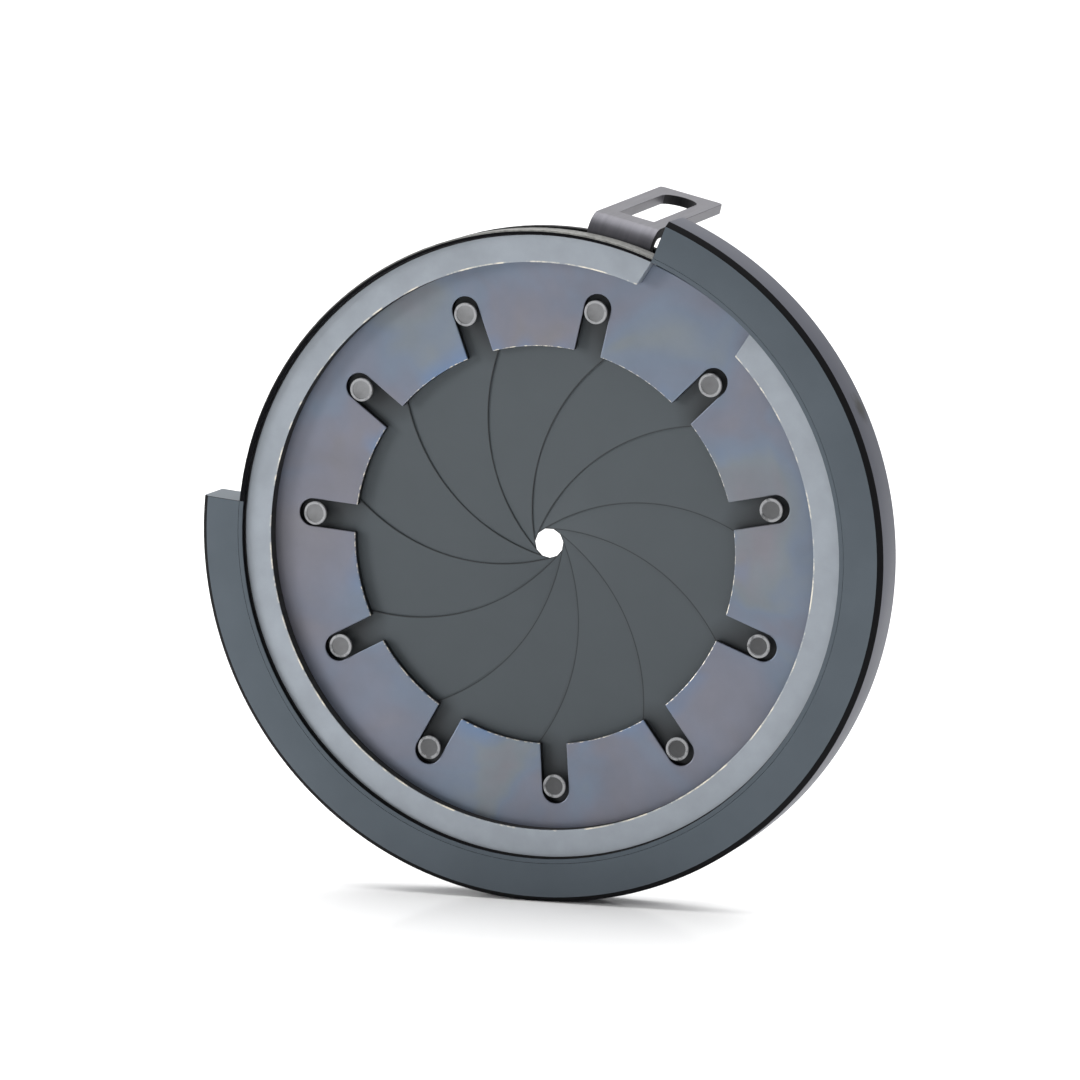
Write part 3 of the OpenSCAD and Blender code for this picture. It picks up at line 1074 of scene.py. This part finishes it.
# %% Lever
LEVER_ANGLE = math.radians(76.1)
LEVER_WIDTH = 4.77 * MM
LEVER_THICKNESS = 0.7 * MM
LEVER_LENGTH = 15.3 * MM
LEVER_LEAN = math.radians(2)
LEVER_EDGE = 0.06 * MM
BEND_RADIUS = 0.7 * MM
BEND_STEPS = 30
SLOT_STEPS = 40
LEVER_LIFT = 0.55 * MM
LEG_START = CAVITY_RADIUS + 0.1 * MM
TAB_SLOT_WIDTH, TAB_SLOT_LENGTH = 2.57 * MM, 10.6 * MM
TAB_END = 1.7 * MM
TAB_CORNER = 0.3 * MM
CORNER_ARC_STEPS = 6
bend_out = housing_radius + LEVER_LIFT - BEND_RADIUS
bend_height = plate_back - LEVER_THICKNESS - BEND_RADIUS
tab_length = LEVER_LENGTH - LEVER_THICKNESS - BEND_RADIUS


def lever_point(radius, height, aside):
    """A point of the lever from its side view and its distance from the middle line."""
    outwards = place(radius, LEVER_ANGLE, height)
    across = Vector((-math.sin(LEVER_ANGLE), 0, math.cos(LEVER_ANGLE)))
    return outwards + across * aside


def bend_arc(radius):
    """The bend at one radius, from the leg to the tab."""
    arc = []
    upright_angle = math.pi / 2
    for step in range(BEND_STEPS + 1):
        angle = upright_angle + (LEVER_LEAN - upright_angle) * step / BEND_STEPS
        arc.append((bend_out + radius * math.cos(angle), bend_height + radius * math.sin(angle)))
    return arc


def tab_point(radius, down):
    """A point on the tab: down is measured along it from the bend."""
    return (
        bend_out + radius * math.cos(LEVER_LEAN) + down * math.sin(LEVER_LEAN),
        bend_height + radius * math.sin(LEVER_LEAN) - down * math.cos(LEVER_LEAN),
    )


def slot_profile():
    """The tab's slot in its own plane: (aside, down), square near the bend, round far off."""
    half = TAB_SLOT_WIDTH / 2
    far = tab_length - TAB_END - half
    near = far + half - TAB_SLOT_LENGTH
    points = [(-half, near), (half, near)]
    for step in range(SLOT_STEPS + 1):
        angle = math.pi * step / SLOT_STEPS
        points.append((half * math.cos(angle), far + half * math.sin(angle)))
    return points


def pull(bm, outline, to_point):
    """Closes a prism between two copies of an outline; to_point(item, side) places it."""
    left, right = [[bm.verts.new(to_point(item, side)) for item in outline] for side in (-1, 1)]
    bm.faces.new(left)
    bm.faces.new(right)
    for index in range(len(outline)):
        following = (index + 1) % len(outline)
        bm.faces.new((left[index], left[following], right[following], right[index]))
    bmesh.ops.recalc_face_normals(bm, faces=bm.faces)


def lever_strip():
    """The bent strip, without its slot: leg, bend and tab."""
    outer_radius = BEND_RADIUS + LEVER_THICKNESS
    side_view = [(LEG_START, plate_back - LEVER_THICKNESS)] + bend_arc(BEND_RADIUS)
    side_view += [tab_point(radius, tab_length) for radius in (BEND_RADIUS, outer_radius)]
    side_view += bend_arc(outer_radius)[::-1] + [(LEG_START, plate_back)]
    bm = bmesh.new()
    pull(bm, side_view, lambda item, side: lever_point(item[0], item[1], side * LEVER_WIDTH / 2))
    return bm


def through_tab(outline):
    """A cutter that goes through the tab's sheet."""
    bm = bmesh.new()

    def to_point(item, side):
        aside, down = item
        middle = BEND_RADIUS + LEVER_THICKNESS / 2 + side * LEVER_THICKNESS
        radius, height = tab_point(middle, down)
        return lever_point(radius, height, aside)

    pull(bm, outline, to_point)
    return bm


def corner_profile(side):
    """What is cut away to round one far corner of the tab."""
    centre_aside = LEVER_WIDTH / 2 - TAB_CORNER
    centre_down = tab_length - TAB_CORNER
    past_side, past_end = LEVER_WIDTH / 2 + TAB_CORNER, tab_length + TAB_CORNER
    points = []
    for step in range(CORNER_ARC_STEPS + 1):
        angle = math.pi / 2 * step / CORNER_ARC_STEPS
        aside = centre_aside + TAB_CORNER * math.cos(angle)
        points.append((aside, centre_down + TAB_CORNER * math.sin(angle)))
    points += [(centre_aside, past_end), (past_side, past_end), (past_side, centre_down)]
    return [(side * aside, down) for aside, down in points]


blank = finish_mesh(lever_strip(), "lever_blank", lever_finish)
cutters = []
for outline in (slot_profile(), corner_profile(1), corner_profile(-1)):
    cutters.append(finish_mesh(through_tab(outline), "tab_cutter", lever_finish))
for tool in cutters:
    cut = blank.modifiers.new("cut", "BOOLEAN")
    cut.operation = "DIFFERENCE"
    cut.solver = "EXACT"
    cut.object = tool
add_bevel(blank, LEVER_EDGE, 3, 40).harden_normals = True
lever_mesh = baked(blank)
for spent in [blank] + cutters:
    bpy.data.objects.remove(spent)
lever = finish_object(lever_mesh, "lever_strip", lever_finish, sharp_angle=5)
print("lever faces:", len(lever.data.polygons))

# %% [markdown]
# The strip was brushed along its length before it was bent, so the streaks follow it
# round the bend. The sides beside the bend and the far wall of the slot get near-black
# painted shade.

# %% Lever marks
BEND_SIDE_DEPTH = 1.6 * MM
STREAK_WIDTH = 0.25 * MM
STREAK_STRETCH = 0.06
STREAK_STRENGTH = 0.5
STREAK_TONE = (0.05, 0.048, 0.055)
BEND_SIDE_SHADE_TONE = (0.006, 0.006, 0.007)


def slot_end(radius, height, front, outward):
    """The far wall of the tab's slot, which looks to the front."""
    return (front > 0.3) & (height < bend_height - BEND_RADIUS)


def across_lever(x, z):
    """How far a point is from the strip's middle line."""
    return z * math.cos(LEVER_ANGLE) - x * math.sin(LEVER_ANGLE)


def bend_side_mask(tree):
    """1 on the strip's two side faces beside the bend and the leg."""
    x, y, z = own_position(tree)
    aside = across_lever(x, z)
    before_tab = (y * -1.0).above(bend_height - BEND_SIDE_DEPTH)
    return aside.size().above(LEVER_WIDTH / 2 - LEVER_EDGE / 2) * before_tab


def brushed_mask(tree):
    """Streaks along the strip, round the bend: noise that hardly changes that way."""
    x, y, z = own_position(tree)
    along = vector(tree, X=across_lever(x, z), Y=y * STREAK_STRETCH, Z=z * STREAK_STRETCH)
    return noise(tree, 1 / STREAK_WIDTH, detail=3.0, where=along).eased()


streaks = brushed_mask(lever_finish.node_tree) * STREAK_STRENGTH
mix_over(lever_finish, streaks, STREAK_TONE)
# painted shade: the sides beside the bend are near black and dull
bend_side = bend_side_mask(lever_finish.node_tree)
mix_over(lever_finish, bend_side, BEND_SIDE_SHADE_TONE)
dull_over(lever_finish, bend_side)
# painted shade: the slot's far wall is near black
print("dark lever faces:", mark_faces(lever.data, "dark", slot_end))
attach(lever, "rotor")
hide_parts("lever")

# %% [markdown]
# ## The blades
# All the blades are one shape at eleven places, and the shape follows a rule: an arc
# whose pins lie on its middle line, with round ends, that climbs from the base to the
# plate. One geometry tree bends a plain grid into that shape. Its rows run along the
# blade and its columns across, and the first and last rows draw in to make the ends.

# %% Blade tree
WELD = 1e-7


def store(tree, geometry, name, value):
    """Stores a number on every point of a geometry, under a name that a material can read."""
    inputs = {"Geometry": geometry, "Name": name, "Value": value}
    kind = "GeometryNodeStoreNamedAttribute"
    return made_by(tree, kind, inputs, data_type="FLOAT", domain="POINT")


def welded(tree, geometry):
    """A geometry with the points merged that lie on each other."""
    inputs = {"Geometry": geometry, "Distance": WELD}
    return made_by(tree, "GeometryNodeMergeByDistance", inputs)


def build_blade():
    """A sheet blade bent from a grid, in place at its pivot."""
    tree, inputs = new_geometry_tree(
        "iris_blade",
        Pin_circle=0.017,
        Half_width=0.003,
        Pin_span=2.356,
        Rise=0.0014,
        Level_share=0.03,
        Steep_share=0.3,
        Steep_width=0.3,
        Thickness=0.00004,
        Pivot_angle=0.0,
        Base_height=0.0,
        End_share=0.12,
        Rows=181,
        Columns=9,
    )
    counts = {"Vertices X": inputs["Rows"], "Vertices Y": inputs["Columns"]}
    sheet = made_by(tree, "GeometryNodeMeshGrid", {"Size X": 1.0, "Size Y": 2.0} | counts)
    position = made_by(tree, "GeometryNodeInputPosition")
    where = add_node(tree, "ShaderNodeSeparateXYZ", {"Vector": position})
    along = Number(tree, where.outputs["X"]) + 0.5
    across = Number(tree, where.outputs["Y"])

    # how far into the pivot's end, into the driven end, and along the arc between
    ends = inputs["End share"]
    pivot_end = ((ends - along) / ends).held()
    driven_end = ((along - 1.0 + ends) / ends).held()
    arc = ((along - ends) / (1.0 - 2.0 * ends)).held()
    beyond = (driven_end * (math.pi / 2)).sin() - (pivot_end * (math.pi / 2)).sin()
    narrow = (pivot_end.largest(driven_end) * (math.pi / 2)).cos()

    # the flat shape, about the centre of the arc
    width = inputs["Half width"]
    angle = arc * inputs["Pin span"] * -1.0
    radius = inputs["Pin circle"] + across * width * narrow
    flat_x = radius * angle.cos() + beyond * width * angle.sin()
    flat_y = radius * angle.sin() - beyond * width * angle.cos()

    # the climb
    level = inputs["Level share"]
    part = ((arc - level) / (1.0 - 2.0 * level)).held()
    steep = ((part - 0.5) / inputs["Steep width"] + 0.5).eased()
    climb = (1.0 - inputs["Steep share"]) * part + inputs["Steep share"] * steep
    height = inputs["Base height"] + inputs["Rise"] * climb

    # turned and moved to its pivot
    swing = math.pi - inputs["Pin span"]
    turn = inputs["Pivot angle"] - swing
    shift = inputs["Pin circle"] * 2.0 * (swing / 2.0).sin()
    centre_angle = inputs["Pivot angle"] + inputs["Pin span"] / 2.0
    put_x = flat_x * turn.cos() - flat_y * turn.sin() + shift * centre_angle.cos()
    put_z = flat_x * turn.sin() + flat_y * turn.cos() + shift * centre_angle.sin()
    point = vector(tree, X=put_x, Y=height * -1.0, Z=put_z)

    # how far each point is from the sheet's edge, and how much painted shade it gets near the drive
    # pin
    margin = (1.0 - across.size()) * width * narrow
    near_pin = ((arc - 0.92) / 0.06).held() * 0.7
    shade_at_drive = near_pin + driven_end * 0.8
    marked = store(tree, sheet, "from_edge", margin)
    marked = store(tree, marked, "shade_at_drive", shade_at_drive.held())

    # bent, its ends closed, and given its thickness towards the front
    placed = {"Geometry": marked, "Position": point}
    closed = welded(tree, made_by(tree, "GeometryNodeSetPosition", placed))
    upwards = vector(tree, Y=inputs["Thickness"] * -1.0)
    way = {"Mesh": closed, "Offset": upwards, "Offset Scale": 1.0, "Individual": False}
    front = made_by(tree, "GeometryNodeExtrudeMesh", way, mode="FACES")
    back = made_by(tree, "GeometryNodeFlipFaces", {"Mesh": closed})
    both = add_node(tree, "GeometryNodeJoinGeometry")
    for skin in (front, back):
        feed(tree, both.inputs[0], skin)
    end_geometry_tree(tree, welded(tree, both.outputs[0]), inputs["Material"])
    return tree


# %% [markdown]
# When the iris is fully open, the blades' inner edges lie on the opening's rim, so half
# a blade's width is what is left between the pin circle and that rim.

# %% Blades
HALF_WIDTH = PIN_CIRCLE - BORE_RADIUS
BLADE_THICKNESS = 0.04 * MM
blade_back, blade_front = heights("blade_01")
iris_blade = build_blade()
for number in range(1, blade_count + 1):
    label = f"{number:02d}"
    blade = grow(
        iris_blade,
        f"blade_sheet_{label}",
        blade_finish,
        Pin_circle=PIN_CIRCLE,
        Half_width=HALF_WIDTH,
        Pin_span=PIN_SPAN,
        Rise=blade_front - blade_back - BLADE_THICKNESS,
        Thickness=BLADE_THICKNESS,
        Pivot_angle=drive_angle(number) - PIN_SPAN,
        Base_height=blade_back,
    )
    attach(blade, f"leaf_{label}")
    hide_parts(f"blade_{label}")

# %% [markdown]
# ## The pins and rivets
# Each pin is a turned stud: an outline spun about its own axis and moved to its place.
# The outline starts and ends on the axis. The drive pin's head has a dish with a bright
# rim round it, and the pivot pin has a small chamfer where it shows in the base.

# %% Turned studs
HEAD_RADIUS = 0.83 * MM
HEAD_THICKNESS = 0.22 * MM
HEAD_DISH = 0.06 * MM
HEAD_RIM = 0.18 * MM
NECK_RADIUS = 0.5 * MM
STUD_RADIUS = 0.8 * MM
TENON_RADIUS = 0.42 * MM
TINY = 0.004 * MM
PIN_STEPS = 48


def stud_bmesh(outline, centre_radius=0.0, centre_angle=0.0, bright_corner=None):
    """A closed bmesh of an outline that starts and ends on its axis.

    The face that follows the bright corner counts as soft edge too."""
    bm = bmesh.new()
    edge_layer = bm.faces.layers.float.new("soft_edge")
    shift = place(centre_radius, centre_angle, 0)
    stations = []
    for step in range(PIN_STEPS):
        angle = math.tau * step / PIN_STEPS
        points = [place(radius, angle, height) + shift for radius, height, _ in outline]
        stations.append([bm.verts.new(point) for point in points])
    for one, two in zip(stations, stations[1:] + stations[:1]):
        for index in range(len(outline) - 1):
            face = bm.faces.new((one[index], one[index + 1], two[index + 1], two[index]))
            corner, following = outline[index][2], outline[index + 1][2]
            face[edge_layer] = 1.0 if following == corner or corner == bright_corner else 0.0
    bmesh.ops.remove_doubles(bm, verts=bm.verts, dist=1e-8)
    return bm


# %% [markdown]
# The pins are put down one by one, because each belongs to the body of its own blade.
# They get painted shade, darker towards one side of the circle, away from the light.

# %% Drive pins and pivot pins
BEST_LIT_PIN_ANGLE = math.radians(130)
PIN_PAINTED_SHADE = 0.36
RIM_CORNER = 6
dish_radius = HEAD_RADIUS - HEAD_RIM
head_back = pin_front - HEAD_THICKNESS
drive_outline = soften(
    [
        (0, pin_back),
        (TENON_RADIUS, pin_back),
        (TENON_RADIUS, blade_front),
        (NECK_RADIUS, blade_front),
        (NECK_RADIUS, head_back),
        (HEAD_RADIUS, head_back),
        (HEAD_RADIUS, pin_front),
        (dish_radius, pin_front),
        (dish_radius - HEAD_DISH / 2, pin_front - HEAD_DISH),
        (0, pin_front - HEAD_DISH),
    ],
    [0, TINY, TINY, TINY, TINY, 0.02 * MM, 0.05 * MM, 0.03 * MM, 0.02 * MM, 0],
)
pivot_outline = soften(
    [
        (0, stud_back),
        (STUD_RADIUS - 0.1 * MM, stud_back),
        (STUD_RADIUS, stud_back + 0.1 * MM),
        (STUD_RADIUS, blade_back - 0.01 * MM),
        (TENON_RADIUS, blade_back - 0.01 * MM),
        (TENON_RADIUS, stud_front),
        (0, stud_front),
    ],
    [0, 0.03 * MM, 0.03 * MM, TINY, TINY, TINY, 0],
)
for number in range(1, blade_count + 1):
    label = f"{number:02d}"
    for node, outline, angle, bright_corner in (
        (f"drive_pin_{label}", drive_outline, drive_angle(number), RIM_CORNER),
        (f"pivot_pin_{label}", pivot_outline, drive_angle(number) - PIN_SPAN, None),
    ):
        stud_bm = stud_bmesh(outline, PIN_CIRCLE, angle, bright_corner)
        stud = finish_mesh(stud_bm, f"{node}_stud", pin_finish)
        # painted shade: stronger the farther a pin is from the best-lit side
        pin_shade_amount = PIN_PAINTED_SHADE * (1 - math.cos(angle - BEST_LIT_PIN_ANGLE))
        layer = stud.data.attributes.new("dark", "FLOAT", "FACE")
        layer.data.foreach_set("value", [pin_shade_amount] * len(stud.data.polygons))
        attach(stud, f"leaf_{label}")
        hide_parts(node)
print("studs:", 2 * blade_count, "of", len(drive_outline), "and", len(pivot_outline), "points")

# %% [markdown]
# Two rivets fix the lever's leg under the plate. They are one stud put twice across the
# lever by a small tree, and both belong to the turning body, so they are one piece.

# %% Rivets
RIVET_RADIUS = 0.35 * MM
RIVET_HEAD_RADIUS = 0.5 * MM
RIVET_PITCH = 2.8 * MM


def build_rivet_row():
    """Puts the stud it is given Count times, Pitch apart, on a line across a direction."""
    tree, inputs = new_geometry_tree(
        "rivet_row", Count=2, Pitch=0.0028, From_axis=0.021, Direction=1.3
    )
    number = Number(tree, made_by(tree, "GeometryNodeInputIndex"))
    aside = (number - (inputs["Count"] - 1.0) / 2.0) * inputs["Pitch"]
    direction = inputs["Direction"]
    spot = vector(
        tree,
        X=direction.cos() * inputs["From axis"] - direction.sin() * aside,
        Z=direction.sin() * inputs["From axis"] + direction.cos() * aside,
    )
    spots = made_by(tree, "GeometryNodePoints", {"Count": inputs["Count"], "Position": spot})
    copies = {"Points": spots, "Instance": inputs["Geometry"]}
    row = made_by(tree, "GeometryNodeInstanceOnPoints", copies)
    end_geometry_tree(tree, row, inputs["Material"])
    return tree


rivet_back, rivet_front = heights("lever_rivets")
countersink = RIVET_HEAD_RADIUS - RIVET_RADIUS
rivet_outline = soften(
    [
        (0, rivet_back),
        (RIVET_RADIUS, rivet_back),
        (RIVET_RADIUS, rivet_front - countersink),
        (RIVET_HEAD_RADIUS, rivet_front),
        (0, rivet_front),
    ],
    [0, 0.03 * MM, TINY, 0.02 * MM, 0],
)
rivet_mesh = bpy.data.meshes.new("rivet")
rivet_bm = stud_bmesh(rivet_outline)
rivet_bm.to_mesh(rivet_mesh)
rivet_bm.free()
rivet_low, rivet_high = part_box("lever_rivets")
rivets_at = (rivet_low + rivet_high) / 2
rivets = grow(
    build_rivet_row(),
    "rivet_pair",
    rivet_finish,
    start_mesh=rivet_mesh,
    Count=2,
    Pitch=RIVET_PITCH,
    From_axis=math.hypot(rivets_at.x, rivets_at.z),
    Direction=math.atan2(rivets_at.z, rivets_at.x),
)
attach(rivets, "rotor")
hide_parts("lever_rivets")

# %% [markdown]
# ## The studio
# A white glossy table. Its low index of refraction keeps the mirror image faint at this
# shallow angle.

# %% Floor
FLOOR_SIZE = 6.0
FLOOR_IOR = 1.06
floor_height = -ring_radius


def build_floor():
    """A plain white table that the ring stands on."""
    bm = bmesh.new()
    bmesh.ops.create_grid(bm, x_segments=2, y_segments=2, size=FLOOR_SIZE)
    bmesh.ops.translate(bm, verts=bm.verts, vec=Vector((0, 0, floor_height)))
    material, tree, shader = new_finish("floor_white")
    shader.inputs["Base Color"].default_value = (0.93, 0.93, 0.93, 1.0)
    shader.inputs["Roughness"].default_value = 0.09
    shader.inputs["IOR"].default_value = FLOOR_IOR
    floor = finish_mesh(bm, "floor", material)


build_floor()
print("floor at", round(floor_height / MM, 2), "mm")

# %% [markdown]
# One large soft lamp hangs above and behind, and a small one stands at the front left.
# The sky is brightest above and behind the object and dimmest in front of it, so light
# comes down past the face and the slots stay dark, as they do under a real overhead
# softbox. The plain view transform keeps white white.

# %% Lights
FRONT_SKY, OVERHEAD_SKY, BEHIND_SKY = 0.08, 0.6, 0.88


def soft_light(name, position, aim, size, watts):
    """A rectangular lamp that faces a point."""
    light = bpy.data.lights.new(name, "AREA")
    light.shape = "RECTANGLE"
    light.size, light.size_y = size
    light.energy = watts
    lamp = bpy.data.objects.new(name, light)
    lamp.location = position
    lamp.rotation_euler = (Vector(aim) - Vector(position)).to_track_quat("-Z", "Y").to_euler()
    bpy.context.scene.collection.objects.link(lamp)


soft_light("top_light", (-0.1, 0.5, 1.8), (0, 0.1, 0), (2.4, 2.4), 52)
soft_light("left_light", (-0.55, -0.42, 0.16), (0, 0, 0), (0.2, 0.28), 2.1)


def build_world():
    """A sky that is brightest above and behind the object and dimmest in front."""
    world = bpy.data.worlds.new("studio_world")
    world.use_nodes = True
    tree = world.node_tree
    direction = add_node(tree, "ShaderNodeTexCoord").outputs["Generated"]
    parts = add_node(tree, "ShaderNodeSeparateXYZ", {"Vector": direction})
    overhead = Number(tree, parts.outputs["Z"]).held()
    behind = (Number(tree, parts.outputs["Y"]) * 0.5 + 0.5).eased()
    brightness = FRONT_SKY + overhead * overhead * OVERHEAD_SKY + behind * BEHIND_SKY
    background = tree.nodes["Background"]
    feed(tree, background.inputs["Strength"], brightness)
    background.inputs["Color"].default_value = (1.0, 1.0, 1.0, 1.0)
    bpy.context.scene.world = world


build_world()
bpy.context.scene.view_settings.view_transform = "Standard"
print("lights:", len(bpy.data.lights))
